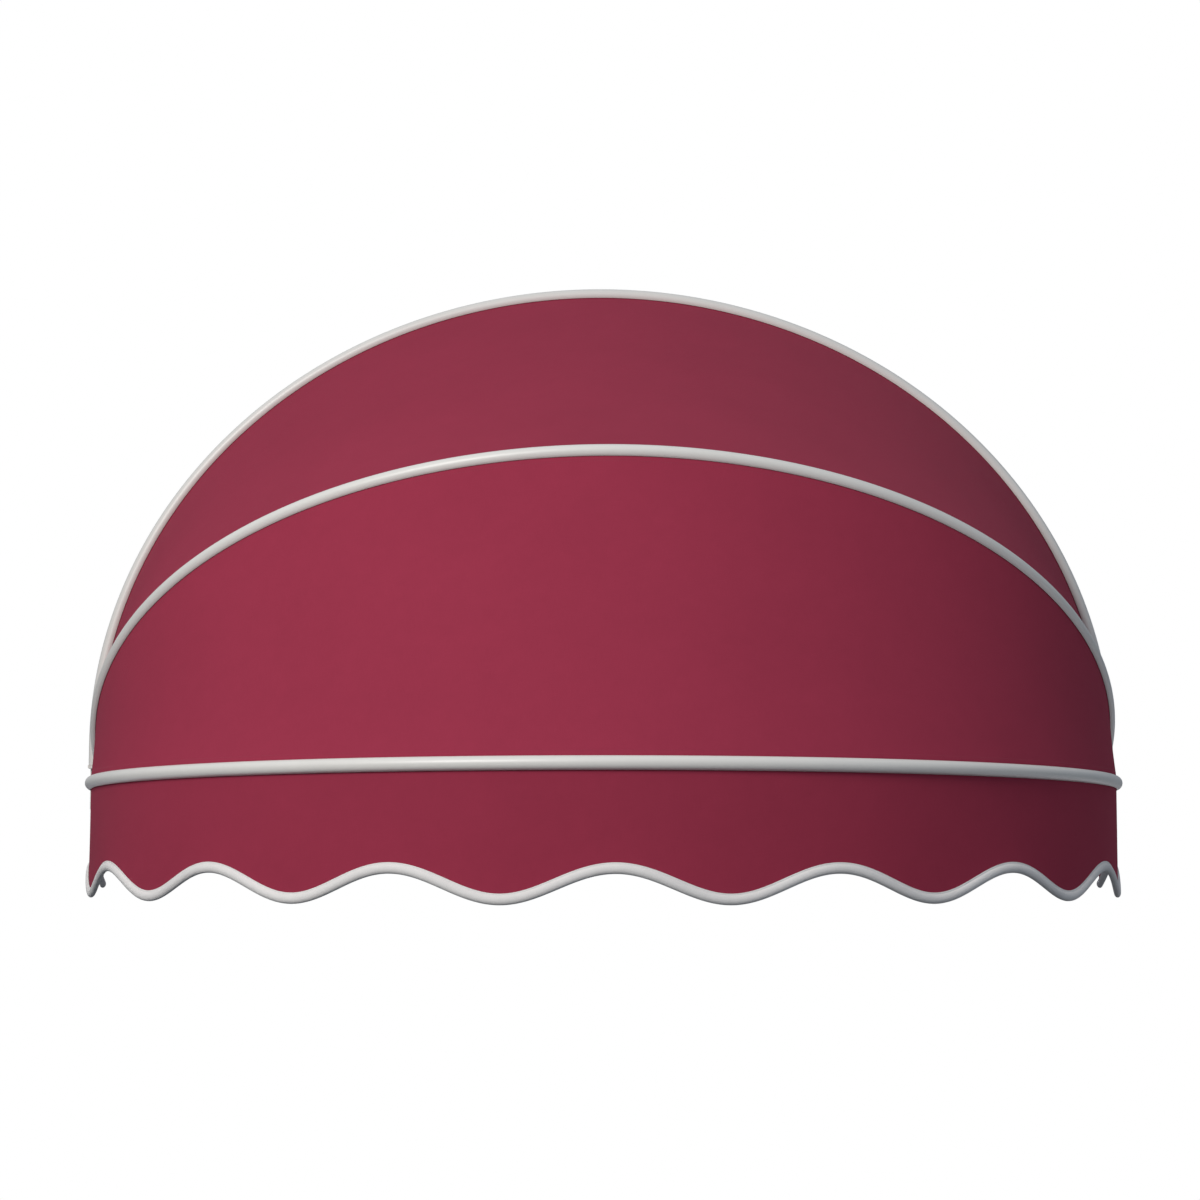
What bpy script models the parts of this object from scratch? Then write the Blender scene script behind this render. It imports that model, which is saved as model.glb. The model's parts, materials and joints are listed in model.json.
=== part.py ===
"""A folding dome awning for a window: three arched bows, a canopy in two panels and a valance.

Metres, +Z up, the wall is the plane Y = 0 and the awning stands out of it towards -Y. The origin lies on
the wall, midway between the brackets, at the height of the middle bow's pivots. Each bow is modelled flat
in its own frame, with its legs running to -Y from its fold axis, and an empty on that axis turns it up.
"""

from math import cos, pi, radians, sin

import bmesh
import bpy
import numpy as np
from mathutils import Matrix, Vector

# Bows: half-ellipses with short straight legs, all of one grooved extrusion
WALL_HALF_WIDTH = 0.750
FOLD_HALF_WIDTH = 0.735
LEG = 0.0375
WALL_RISE = 0.679
MID_RISE = 0.679
FRONT_RISE = 0.735
TUBE_R = 0.009
MID_ANGLE = radians(32.5)
FOLD_STEP = 0.030  # from one bow's plane to the next when they are folded
FOOT = 0.030  # from a fold axis to the end of the extrusion

# Grooves that hold the fabric's welts
SLOT_HALF = 0.0009
POCKET_R = 0.0026
POCKET_AT = 0.0046
WELT_R = 0.0019
WALL_GROOVE_TURN = radians(45)

# Fabric
FABRIC = 0.0008
GAP = 0.0004
VALANCE_DROP = 0.1525
WAVE = 0.019
WAVE_PITCH = 0.284
HEM_LIFT = 0.012  # metres of rise for each square metre of the run from the middle of the front
TAPE_DEEP = 0.015
TAPE_HALF = 0.0017
SIDE_END = -0.014  # where the valance's side edges stop short of the wall

# Fittings, as layers counted from the middle of a moving bow's leg towards the outside
TONGUE = 0.005
MID_LAYER = 0.0020
FRONT_LAYER = -0.0042
EAR_LAYER = 0.0080
EAR = 0.004
EYE_R = 0.0085
BOLT_R = 0.0030
BORE_R = 0.0034
NUT_R = 0.0052
NUT = 0.004
WASHER_R = 0.0070
PORT_R = 0.0019
DOWEL_R = 0.0015
PORT_AT = 0.0050

STATIONS = 31  # steps round a bow; odd, so that one straight step crosses its crown
SIDES = 14
CLIP_STEPS = (3, 10, STATIONS - 11, STATIONS - 4)

MID_AXIS = np.array([0.0, -(TUBE_R + FOLD_STEP), 0.0])
FRONT_AXIS = MID_AXIS + FOLD_STEP * np.array([0.0, -sin(MID_ANGLE), -cos(MID_ANGLE)])
WALL_AXIS = np.array([0.0, -TUBE_R, 0.0])


def material(name, colour, roughness, metallic=0.0):
    made = bpy.data.materials.new(name)
    made.use_nodes = True
    shader = made.node_tree.nodes["Principled BSDF"]
    shader.inputs["Base Color"].default_value = (*colour, 1)
    shader.inputs["Roughness"].default_value = roughness
    shader.inputs["Metallic"].default_value = metallic
    return made


class Bow:
    """One arch: its size, and the empty on its fold axis that turns its flat frame up."""

    def __init__(self, name, half_width, rise, axis, angle, foot):
        self.name, self.half_width, self.rise, self.foot = name, half_width, rise, foot
        self.axis, self.angle = axis, angle
        self.empty = bpy.data.objects.new(name + "_axis", None)
        self.empty.location = axis
        self.empty.rotation_euler.x = -angle
        bpy.context.collection.objects.link(self.empty)

    def path(self, stations=STATIONS):
        """Points (x, y) of the centre line and outward normals, from the right foot to the left one."""
        turn = np.linspace(0, pi, stations + 1)
        points = np.stack([self.half_width * np.cos(turn), -LEG - self.rise * np.sin(turn)], 1)
        normals = np.stack([self.rise * np.cos(turn), -self.half_width * np.sin(turn)], 1)
        normals /= np.linalg.norm(normals, axis=1)[:, None]
        feet = np.array([[self.half_width, -self.foot], [-self.half_width, -self.foot]])
        points = np.vstack([feet[:1], points, feet[1:]])
        normals = np.vstack([[1.0, 0.0], normals, [-1.0, 0.0]])
        return points, normals

    def rail(self, out, up, stations=STATIONS):
        """Points at an offset from the centre line: out along the normal, up from the bow's plane."""
        points, normals = self.path(stations)
        flat = points + out * normals
        return np.column_stack([flat, np.full(len(flat), up)])

    def world(self, points):
        turn = np.array(Matrix.Rotation(-self.angle, 3, "X"))
        return points @ turn.T + self.axis

    def groove(self, depth, side, turn=0.0):
        """The rail at a depth from the centre line, in the groove on one side of the plane."""
        return self.world(self.rail(-depth * sin(turn), side * depth * cos(turn)))


def new_object(name, points, faces, finish, parent=None):
    mesh = bpy.data.meshes.new(name)
    mesh.from_pydata([tuple(p) for p in points], [], [tuple(f) for f in faces])
    work = bmesh.new()
    work.from_mesh(mesh)
    bmesh.ops.recalc_face_normals(work, faces=work.faces)
    work.to_mesh(mesh)
    work.free()
    mesh.shade_smooth()
    mesh.set_sharp_from_angle(angle=radians(40))
    mesh.materials.append(finish)
    made = bpy.data.objects.new(name, mesh)
    made.parent = parent
    bpy.context.collection.objects.link(made)
    return made


def strip(rows, columns):
    """Quads between neighbouring points of a closed ring, for each step from one row to the next."""
    row, column = np.meshgrid(np.arange(rows - 1), np.arange(columns), indexing="ij")
    after = (column + 1) % columns
    corners = [row * columns + column, row * columns + after]
    corners += [(row + 1) * columns + after, (row + 1) * columns + column]
    return np.stack(corners, -1).reshape(-1, 4).tolist()


def sweep(name, rings, finish, parent=None):
    """A closed solid through equal rings of points, with a flat cap at each end."""
    rows, columns = rings.shape[:2]
    faces = strip(rows, columns)
    faces += [list(range(columns))[::-1], list(range((rows - 1) * columns, rows * columns))]
    return new_object(name, rings.reshape(-1, 3), faces, finish, parent)


def slab(name, grid, thickness, finish):
    """A sheet with an even thickness: the grid pushed to both sides along its normals, and a rim."""
    along = np.gradient(grid, axis=0)
    across = np.gradient(grid, axis=1)
    normal = np.cross(along, across)
    normal /= np.linalg.norm(normal, axis=2)[:, :, None]
    front, back = grid + normal * thickness / 2, grid - normal * thickness / 2
    rings = np.concatenate([front, back[:, ::-1]], axis=1)
    return sweep(name, rings, finish)


def swept_section(name, bow, section, finish):
    """A section of points (out, up) carried along a bow's centre line."""
    points, normals = bow.path()
    rings = points[:, None] + section[None, :, :1] * normals[:, None]
    rings = np.concatenate([rings, np.broadcast_to(section[None, :, 1:], (*rings.shape[:2], 1))], 2)
    return sweep(name, rings, finish, bow.empty)


def arc(centre, radius, start, end, count):
    """Points (out, up) on an arc, with its angle counted from +up towards +out."""
    turn = np.linspace(start, end, count)
    return np.stack([centre[0] + radius * np.sin(turn), centre[1] + radius * np.cos(turn)], 1)


def groove_points(turn):
    """The slot and round pocket of a groove that opens along `turn`, from +up towards +out."""
    lip = np.arcsin(SLOT_HALF / POCKET_R)
    centre = POCKET_AT * np.array([sin(turn), cos(turn)])
    pocket = arc(centre, POCKET_R, turn - lip, turn + lip - 2 * pi, 7)
    mouth = np.arcsin(SLOT_HALF / TUBE_R)
    return np.vstack([arc((0, 0), TUBE_R, turn - mouth, turn - mouth, 1), pocket,
                      arc((0, 0), TUBE_R, turn + mouth, turn + mouth, 1)])


def moving_section():
    """A round bar with a groove on both sides of the bow's plane."""
    mouth = np.arcsin(SLOT_HALF / TUBE_R)
    outer = arc((0, 0), TUBE_R, mouth, pi - mouth, SIDES // 2)[1:-1]
    inner = arc((0, 0), TUBE_R, pi + mouth, 2 * pi - mouth, SIDES // 2)[1:-1]
    return np.vstack([groove_points(0), outer, groove_points(pi), inner])


def wall_section():
    """A round bar with a flat back towards the wall and one groove, forwards and inwards."""
    turn = pi + WALL_GROOVE_TURN
    mouth = np.arcsin(SLOT_HALF / TUBE_R)
    flat = 0.8 * TUBE_R
    front = arc((0, 0), TUBE_R, pi / 3, turn - mouth, 8)[:-1]
    inner = arc((0, 0), TUBE_R, turn + mouth, 5 * pi / 3, 5)[1:]
    back = np.array([[-flat, TUBE_R], [flat, TUBE_R]])
    return np.vstack([front, groove_points(turn), inner, back])


def prism(name, outline, low, high, finish=None, parent=None):
    """A flat outline (y, z) carried along X from low to high."""
    outline = np.asarray(outline)
    rings = np.stack([np.column_stack([np.full(len(outline), x), outline]) for x in (low, high)])
    return sweep(name, rings, finish or STEEL, parent)


def rod(name, start, end, radius, sides=12, finish=None, parent=None):
    """A straight bar with flat ends. Its first side faces the axis that `start` to `end` is least along."""
    start, end = Vector(start), Vector(end)
    along = (end - start).normalized()
    side = along.orthogonal().normalized()
    other = along.cross(side)
    turn = np.linspace(0, 2 * pi, sides, endpoint=False)
    ring = [side * (radius * cos(t)) + other * (radius * sin(t)) for t in turn]
    rings = np.array([[tuple(centre + p) for p in ring] for centre in (start, end)])
    return sweep(name, rings, finish or STEEL, parent)


def box(name, low, high, finish=None, parent=None):
    (x0, y0, z0), (x1, y1, z1) = low, high
    return prism(name, [(y0, z0), (y1, z0), (y1, z1), (y0, z1)], x0, x1, finish, parent)


def combine(target, tool, operation):
    """Joins a helper shape to a piece, or cuts it out; the helper stays hidden."""
    tool.hide_render = True
    tool.display_type = "WIRE"
    change = target.modifiers.new(tool.name, "BOOLEAN")
    change.operation = operation
    change.object = tool


def hang(piece, bow):
    """Puts a piece that was built in world coordinates under a bow's empty, where it stands."""
    piece.parent = bow.empty
    at_rest = Matrix.Translation(bow.axis) @ Matrix.Rotation(-bow.angle, 4, "X")
    piece.matrix_parent_inverse = at_rest.inverted()


def round_end(centre, start, end, steps=6):
    """Points (y, z) on the rim of an eye, with the angle counted from +Y towards +Z."""
    turn = np.linspace(start, end, steps + 1)
    return [(centre[0] + EYE_R * cos(t), centre[1] + EYE_R * sin(t)) for t in turn]


def tongue_outline(root, carries_next):
    """A tongue from the block to the pivot's eye and, where it carries the next bow, down to that eye."""
    block_end = [(root, -EYE_R), (root, EYE_R)]
    if not carries_next:
        return block_end + round_end((0, 0), pi / 2, -pi / 2)
    top, low = round_end((0, 0), pi / 2, 0, 4), round_end((0, -FOLD_STEP), 0, -pi)
    return block_end + top + low + [(-EYE_R, -EYE_R)]


def bow_ports(bow, piece):
    """The two blind screw ports in each end of an extrusion, which take its fitting's dowels."""
    for side in (1, -1):
        for out in (PORT_AT, -PORT_AT):
            x = side * (bow.half_width + out)
            port = rod(f"{bow.name}_port", (x, 0, 0), (x, -bow.foot - 0.018, 0), PORT_R, 8, None, bow.empty)
            port.matrix_local = port_shift(bow)
            combine(piece, port, "DIFFERENCE")


def port_shift(bow):
    """Keeps a port clear of the grooves: on the wall bow it moves off the groove's side."""
    return Matrix.Translation((0, 0, 0.0040 if bow is WALL else 0))


def dowels(bow, piece, side, start):
    for out in (PORT_AT, -PORT_AT):
        x = side * (bow.half_width + out)
        dowel = rod(f"{piece.name}_dowel", (x, start, 0), (x, -bow.foot - 0.014, 0), DOWEL_R, 8, None, bow.empty)
        dowel.matrix_local = port_shift(bow)
        combine(piece, dowel, "UNION")


def knuckle(bow, side, layer, carries_next):
    """An end fitting: a tongue with the pivot's eye, a round block against the bow, and two dowels."""
    name = f"{'right' if side > 0 else 'left'}_{bow.name}_knuckle"
    inner = side * (bow.half_width + layer - TONGUE / 2)
    outer = side * (bow.half_width + layer + TONGUE / 2)
    block_start = -0.017
    outline = tongue_outline(block_start - 0.004, carries_next)
    piece = prism(name, outline, inner, outer, WHITE, bow.empty)
    if carries_next:
        combine(piece, eye_bore(bow, side, -FOLD_STEP), "DIFFERENCE")
    centre = side * bow.half_width
    block_end = -bow.foot + GAP
    block = rod(name + "_block", (centre, block_start, 0), (centre, block_end, 0), TUBE_R, SIDES, None, bow.empty)
    combine(piece, block, "UNION")
    dowels(bow, piece, side, block_start - 0.002)
    combine(piece, eye_bore(bow, side, 0), "DIFFERENCE")
    return piece


def eye_bore(bow, side, up):
    x = side * bow.half_width
    return rod(f"{bow.name}_eye_bore", (x - 0.02, 0, up), (x + 0.02, 0, up), BORE_R, 12, None, bow.empty)


def pivot_set(name, side, axis, outer, inner, washer, parent=None):
    """A bolt with its head outside, its nut inside, and a washer between the two eyes."""
    y, z = axis
    mark = "right" if side > 0 else "left"
    at = side * FOLD_HALF_WIDTH
    reach = inner - 0.0004 - NUT - 0.0010
    head = outer + GAP + 0.0032

    def turned(label, low, high, radius, sides, finish=None):
        start, end = (at + side * low, y, z), (at + side * high, y, z)
        return rod(f"{mark}_{name}_{label}", start, end, radius, sides, finish or STEEL, parent)

    bolt = turned("bolt", reach, head, BOLT_R, 12)
    combine(bolt, turned("head", outer + GAP, head + 0.0002, NUT_R, 12), "UNION")
    nut_outer = inner - GAP
    nut = turned("nut", nut_outer - NUT, nut_outer, NUT_R, 6)
    ring = turned("washer", *washer, WASHER_R, 16, NYLON)
    for bored in (nut, ring):
        combine(bored, turned("bore", -0.03, 0.03, BORE_R, 12), "DIFFERENCE")


def wall_bracket(side):
    """A screwed plate on the wall, a shelf under the wall bow's foot and an ear for the middle pivot."""
    name = f"{'right' if side > 0 else 'left'}_wall_bracket"
    ear_mid = FOLD_HALF_WIDTH + EAR_LAYER
    low_x, high_x = side * (ear_mid - EAR / 2), side * (ear_mid + EAR / 2)
    y, top = MID_AXIS[1], 0.0085
    turn = np.linspace(pi / 2, 1.35 * pi, 8)
    nose = [(y + EYE_R * cos(t), EYE_R * sin(t)) for t in turn]
    outline = [(-0.002, top), *nose, (-0.002, -0.050)]
    piece = prism(name, outline, low_x, high_x, WHITE)
    plate = box(name + "_plate", (side * 0.704, -0.004, -0.056), (side * 0.757, 0, top))
    shelf = box(name + "_shelf", (side * 0.7405, -0.0180, top - 0.0045), (side * 0.7590, -0.001, top))
    for tool in (plate, shelf):
        combine(piece, tool, "UNION")
    bore = rod(name + "_pivot_bore", (side * 0.70, y, 0), (side * 0.80, y, 0), BORE_R, 12)
    combine(piece, bore, "DIFFERENCE")
    for z in (-0.014, -0.042):
        hole = rod(name + "_screw_hole", (side * 0.720, 0.01, z), (side * 0.720, -0.01, z), 0.0030, 12)
        combine(piece, hole, "DIFFERENCE")
    for out in (PORT_AT, -PORT_AT):
        x = side * (WALL.half_width + out)
        dowel = rod(name + "_dowel", (x, WALL_AXIS[1] + 0.0040, top - 0.002), (x, WALL_AXIS[1] + 0.0040, 0.0235),
                    DOWEL_R, 8)
        combine(piece, dowel, "UNION")


def on_bow(bow, step):
    """A matrix at the middle of one straight step of the bow: X along it, Y outwards, Z up from its plane."""
    points, _ = bow.path()
    first, second = points[step + 1], points[step + 2]
    along = Vector((*(second - first), 0)).normalized()
    up = Vector((0, 0, 1))
    local = Matrix((along, up.cross(along), up)).transposed().to_4x4()
    local.translation = (*((first + second) / 2), 0)
    return local


def set_on_bow(bow, step, pieces):
    local = on_bow(bow, step)
    for piece in pieces:
        piece.parent = bow.empty
        piece.data.transform(local)


def wall_clip(number, step):
    """An angle between the wall and the wall bow's inner side, and the screw that ties it to the bow."""
    half, sheet, gap, screw_up, edge = 0.011, 0.0025, 0.0003, 0.0025, -0.0020
    root = -TUBE_R - gap
    outline = [(root, TUBE_R), (root, edge), (root - sheet, edge), (root - sheet, TUBE_R - sheet),
               (root - 0.024, TUBE_R - sheet), (root - 0.024, TUBE_R)]
    clip = prism(f"wall_clip_{number}", outline, -half, half, WHITE)
    hole = rod("clip_wall_hole", (0, root - 0.014, 0), (0, root - 0.014, 0.02), 0.0026, 12)
    bore = rod("clip_screw_bore", (0, root - 0.01, screw_up), (0, root + 0.0005, screw_up), 0.0022, 10)
    combine(clip, hole, "DIFFERENCE")
    combine(clip, bore, "DIFFERENCE")
    face = root - sheet - gap
    screw = rod(f"clip_screw_{number}", (0, face - 0.0018, screw_up), (0, face, screw_up), 0.0034, 12, STEEL)
    shank = rod("clip_screw_shank", (0, face - 0.0005, screw_up), (0, -0.0035, screw_up), 0.0017, 8)
    combine(screw, shank, "UNION")
    port = rod("wall_bow_screw_port", (0, root - 0.001, screw_up), (0, -0.0030, screw_up), 0.0021, 8)
    set_on_bow(WALL, step, (clip, hole, bore, screw, shank, port))
    combine(bpy.data.objects["wall_bow"], port, "DIFFERENCE")


def cord_guide(bow):
    """A small eye under the crown of a bow, for the pull cord to run through."""
    face = -TUBE_R - 0.0003
    plate = box(f"cord_guide_{bow.name}", (-0.012, face - 0.0025, -0.0045), (0.012, face, 0.0045), STEEL)
    turn = np.linspace(0, 2 * pi, 12, endpoint=False)
    tube = np.linspace(0, 2 * pi, 6, endpoint=False)
    ring_r, wire_r = 0.0070, 0.0015
    around, across = np.meshgrid(turn, tube, indexing="ij")
    radius = ring_r + wire_r * np.cos(across)
    centre = face - 0.0025 - ring_r
    points = np.stack([radius * np.cos(around), centre + radius * np.sin(around), wire_r * np.sin(across)], 2)
    rings = np.concatenate([points, points[:1]])
    faces = strip(*rings.shape[:2])
    faces = [[corner % (12 * 6) for corner in face] for face in faces]
    eye = new_object("cord_guide_eye", points.reshape(-1, 3), faces, STEEL)
    set_on_bow(bow, STATIONS // 2, (plate, eye))
    combine(plate, eye, "UNION")


def welt(name, bow, side, turn=0.0):
    """The round cord sewn into a fabric edge, lying in a groove's pocket."""
    centre = (-POCKET_AT * sin(turn), side * POCKET_AT * cos(turn))
    section = arc(centre, WELT_R, 0, 2 * pi, 7)[:-1]
    return swept_section(name, bow, section, CLOTH)


def panel(name, upper, lower, upper_turn=0.0):
    """Fabric drawn tight from one bow's groove to the next: in each groove, out of it, then straight across."""
    inside, outside = POCKET_AT + WELT_R + GAP, TUBE_R + 0.0008
    first = [upper.groove(depth, -1, upper_turn) for depth in (inside, outside)]
    last = [lower.groove(depth, 1) for depth in (outside, inside)]
    middle = (first[1] + last[0]) / 2
    return slab(name, np.stack([*first, middle, *last], axis=1), FABRIC, CLOTH)


def valance_run():
    """The valance's plan line and its arc length: along the front bow and straight on towards the wall."""
    points, _ = FRONT.path()
    flat = FRONT.world(np.column_stack([points, np.zeros(len(points))]))[:, :2]
    halves = (flat[1:] + flat[:-1]) / 2
    flat = np.insert(flat, np.arange(1, len(flat)), halves, axis=0)
    flat = np.vstack([(FOLD_HALF_WIDTH, SIDE_END), flat, (-FOLD_HALF_WIDTH, SIDE_END)])
    length = np.concatenate([[0], np.cumsum(np.linalg.norm(np.diff(flat, axis=0), axis=1))])
    return flat, length - length[-1] / 2


def hem_height(length):
    """The wavy hem: a cosine of the arc length, with a crest at the middle, and a slow lift to both sides."""
    waves = WAVE * np.cos(2 * pi * length / WAVE_PITCH)
    return FRONT_AXIS[2] - VALANCE_DROP + HEM_LIFT * length ** 2 + waves


def valance():
    """A band hanging from the front bow's lower groove; past the bow's feet its top edge steps down."""
    flat, length = valance_run()
    held_end = FRONT.world(np.array([[0, -FOOT, 0]]))[0, 1]
    held = FRONT_AXIS[2] - (POCKET_AT + WELT_R + GAP)
    free = FRONT_AXIS[2] - 0.0145
    top = np.where(flat[:, 1] < held_end - 0.001, held, free)
    bottom = hem_height(length) + 0.0008
    shares = (0.0, 0.5, 1.0)
    rows = [np.column_stack([flat, top + share * (bottom - top)]) for share in shares]
    return slab("valance", np.stack(rows, axis=1), FABRIC, CLOTH), flat, length


def hem_binding(flat, length):
    """A folded tape round the valance's hem, with the fabric in its fold."""
    low = hem_height(length)
    half_slot = FABRIC / 2 + 0.0004
    along = np.gradient(np.column_stack([flat, low]), axis=0)
    side = np.column_stack([-along[:, 1], along[:, 0], np.zeros(len(flat))])
    side /= np.linalg.norm(side, axis=1)[:, None]
    section = [(-TAPE_HALF, TAPE_DEEP), (-TAPE_HALF, 0), (-TAPE_HALF / 2, -0.0012), (TAPE_HALF / 2, -0.0012),
               (TAPE_HALF, 0), (TAPE_HALF, TAPE_DEEP), (half_slot, TAPE_DEEP), (half_slot, 0.0004),
               (-half_slot, 0.0004), (-half_slot, TAPE_DEEP)]
    base = np.column_stack([flat, low])
    rings = np.stack([base + across * side + up * np.array([0, 0, 1.0]) for across, up in section], 1)
    return sweep("hem_binding", rings, TAPE)


for old in list(bpy.data.objects):
    bpy.data.objects.remove(old)

WHITE = material("white_powder_coat", (0.80, 0.80, 0.77), 0.38)
STEEL = material("zinc_steel", (0.62, 0.63, 0.64), 0.35, 0.9)
NYLON = material("nylon", (0.75, 0.74, 0.70), 0.55)
CLOTH = material("burgundy_canvas", (0.29, 0.04, 0.07), 0.85)
TAPE = material("white_binding", (0.78, 0.78, 0.76), 0.8)

WALL = Bow("wall_bow", WALL_HALF_WIDTH, WALL_RISE, WALL_AXIS, pi / 2, 0.0089)
MID = Bow("mid_bow", FOLD_HALF_WIDTH, MID_RISE, MID_AXIS, MID_ANGLE, FOOT)
FRONT = Bow("front_bow", FOLD_HALF_WIDTH, FRONT_RISE, FRONT_AXIS, 0.0, FOOT)

for arch, section in ((WALL, wall_section()), (MID, moving_section()), (FRONT, moving_section())):
    bow_ports(arch, swept_section(arch.name, arch, section, WHITE))
    cord_guide(arch)

for hand in (1, -1):
    wall_bracket(hand)
    knuckle(MID, hand, MID_LAYER, True)
    knuckle(FRONT, hand, FRONT_LAYER, False)
    mid_out, mid_in = MID_LAYER + TONGUE / 2, MID_LAYER - TONGUE / 2
    ear_out, ear_in = EAR_LAYER + EAR / 2, EAR_LAYER - EAR / 2
    front_out, front_in = FRONT_LAYER + TONGUE / 2, FRONT_LAYER - TONGUE / 2
    pivot_set("mid_pivot", hand, MID_AXIS[1:], ear_out, mid_in, (mid_out + GAP, ear_in - GAP))
    pivot_set("front_pivot", hand, (0, -FOLD_STEP), mid_out, front_in, (front_out + 0.0003, mid_in - 0.0003),
              MID.empty)

for index, place in enumerate(CLIP_STEPS, start=1):
    wall_clip(index, place)

welt("wall_bow_welt", WALL, -1, WALL_GROOVE_TURN)
welt("mid_bow_upper_welt", MID, 1)
welt("mid_bow_lower_welt", MID, -1)
welt("front_bow_upper_welt", FRONT, 1)
welt("front_bow_lower_welt", FRONT, -1)
panel("upper_canopy", WALL, MID, WALL_GROOVE_TURN)
hang(panel("lower_canopy", MID, FRONT), MID)
band, flat_line, run = valance()
hang(band, FRONT)
hang(hem_binding(flat_line, run), FRONT)
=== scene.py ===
"""A folding dome awning for a window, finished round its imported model.

Run it as a script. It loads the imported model, makes each group of pieces with an operator of its own and
sets the stage. Metres, +Z up; the wall is the plane Y = 0 and the awning stands out of it towards -Y.
"""

import json
from math import cos, pi, radians, sin

import bpy
import numpy as np
from mathutils import Matrix, Vector


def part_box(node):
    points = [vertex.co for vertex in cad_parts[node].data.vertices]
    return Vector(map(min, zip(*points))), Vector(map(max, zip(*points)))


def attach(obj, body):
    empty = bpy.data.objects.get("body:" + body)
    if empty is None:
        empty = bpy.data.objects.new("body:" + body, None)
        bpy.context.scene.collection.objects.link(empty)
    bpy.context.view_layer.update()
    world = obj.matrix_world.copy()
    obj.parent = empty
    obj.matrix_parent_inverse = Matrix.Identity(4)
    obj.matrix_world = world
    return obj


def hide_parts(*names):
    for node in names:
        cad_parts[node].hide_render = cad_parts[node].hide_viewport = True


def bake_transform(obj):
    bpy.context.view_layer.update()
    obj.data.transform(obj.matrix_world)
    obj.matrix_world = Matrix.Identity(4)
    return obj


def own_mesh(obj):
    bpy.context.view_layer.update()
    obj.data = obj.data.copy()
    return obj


bl_info = {
    "name": "Dome Window Awning",
    "version": (1, 0, 0),
    "blender": (4, 5, 0),
    "location": "View3D > Sidebar > Awning",
    "description": "Finishes a folding dome awning: bows, canvas, valance, fittings and stage",
    "category": "Object",
}

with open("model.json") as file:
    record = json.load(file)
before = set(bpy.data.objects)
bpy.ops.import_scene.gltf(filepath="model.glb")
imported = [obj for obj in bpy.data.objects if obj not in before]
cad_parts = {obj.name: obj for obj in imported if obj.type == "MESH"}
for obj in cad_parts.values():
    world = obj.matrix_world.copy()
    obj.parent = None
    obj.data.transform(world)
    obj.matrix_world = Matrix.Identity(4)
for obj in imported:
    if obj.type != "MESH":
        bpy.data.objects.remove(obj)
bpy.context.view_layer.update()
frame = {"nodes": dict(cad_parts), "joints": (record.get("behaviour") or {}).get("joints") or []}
PIVOTS = {joint["name"]: np.array(joint["pos_m"]) for joint in frame["joints"]}
HANDS = {"right": 1, "left": -1}

BOW_STEPS = 248  # round a bow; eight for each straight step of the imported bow
CAD_STEPS = 31
CLIP_STEPS = (3, 10, 20, 27)
SLOT_HALF = 0.0009
POCKET_R = 0.0026
POCKET_AT = 0.0046
WELT_R = 0.0019
GAP = 0.0004
WALL_GROOVE_TURN = radians(45)
SEAM_IN = 0.006  # from a bow's side to the seam that closes the fabric round its welt
HEM_DEEP = 0.014
VALANCE_END_TOP = 0.0145  # below the front bow's middle plane, where the valance runs on past the tube
FLOOR_GLOW = 0.35
SIDE_END = -0.014


def distance(name, default, description):
    return bpy.props.FloatProperty(
        name=name, default=default, description=description, unit="LENGTH", subtype="DISTANCE", precision=4)


def share(name, default, description):
    return bpy.props.FloatProperty(name=name, default=default, description=description, min=0, max=1)


def colour(name, default, description):
    return bpy.props.FloatVectorProperty(
        name=name, default=default, description=description, subtype="COLOR", size=3, min=0, max=1)


class AwningSizes(bpy.types.PropertyGroup):
    """Sizes of the awning's pieces."""

    wall_half_width: distance("Wall bow half width", 0.750, "From the middle to the wall bow's centre line")
    fold_half_width: distance("Fold bow half width", 0.735, "From the middle to a folding bow's centre line")
    leg: distance("Leg", 0.0375, "Straight leg of a bow, from its fold axis to the start of its curve")
    wall_rise: distance("Wall bow rise", 0.679, "Height of the wall bow's curve above its legs")
    mid_rise: distance("Middle bow rise", 0.679, "Reach of the middle bow's curve beyond its legs")
    front_rise: distance("Front bow rise", 0.735, "Reach of the front bow's curve beyond its legs")
    mid_angle: bpy.props.FloatProperty(
        name="Middle bow angle", default=radians(32.5), unit="ROTATION", subtype="ANGLE",
        description="Slope of the middle bow above the horizontal")
    foot: distance("Foot", 0.030, "From a fold axis to the end of a folding bow's tube")
    tube_radius: distance("Bow radius", 0.009, "Radius of the bows' tube")
    fabric: distance("Fabric", 0.0008, "Thickness of the canvas")
    sag: share("Sag", 0.008, "How far the canvas dips between two bows, as a share of its width there")
    valance_drop: distance("Valance drop", 0.1525, "From the front bow's middle plane to the hem's mean line")
    wave: distance("Hem wave", 0.019, "Height of the hem's waves above and below their mean")
    wave_pitch: distance("Hem wave pitch", 0.284, "Length of one wave along the hem")
    hem_lift: share("Hem lift", 0.012, "Metres that the hem rises for each square metre of its run")
    tape_deep: distance("Binding depth", 0.0125, "Depth of the tape that binds the hem")
    tape_lip: distance("Binding lip", 0.0020, "Flat edge of the tape above its padded roll, where it is sewn")
    tape_bulge: distance("Binding bulge", 0.0046, "Half the thickness of the padded roll at its fullest")
    stitch_pitch: distance("Stitch pitch", 0.0038, "From one stitch to the next")


class AwningColours(bpy.types.PropertyGroup):
    """Colours of the awning's finishes and its stage."""

    canvas: colour("Canvas", (0.335, 0.036, 0.071), "Burgundy of the awning canvas")
    coat: colour("Bow coat", (0.72, 0.705, 0.665), "Off-white powder coat of the bows")
    tape: colour("Binding", (0.84, 0.82, 0.795), "Off-white of the hem's binding")
    steel: colour("Zinc", (0.62, 0.63, 0.65), "Zinc plating on bolts, nuts and screws")
    nylon: colour("Nylon", (0.70, 0.69, 0.64), "Natural nylon of the pivot washers")
    floor: colour("Floor", (0.86, 0.86, 0.86), "Pale studio floor")


# Shader maths


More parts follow.
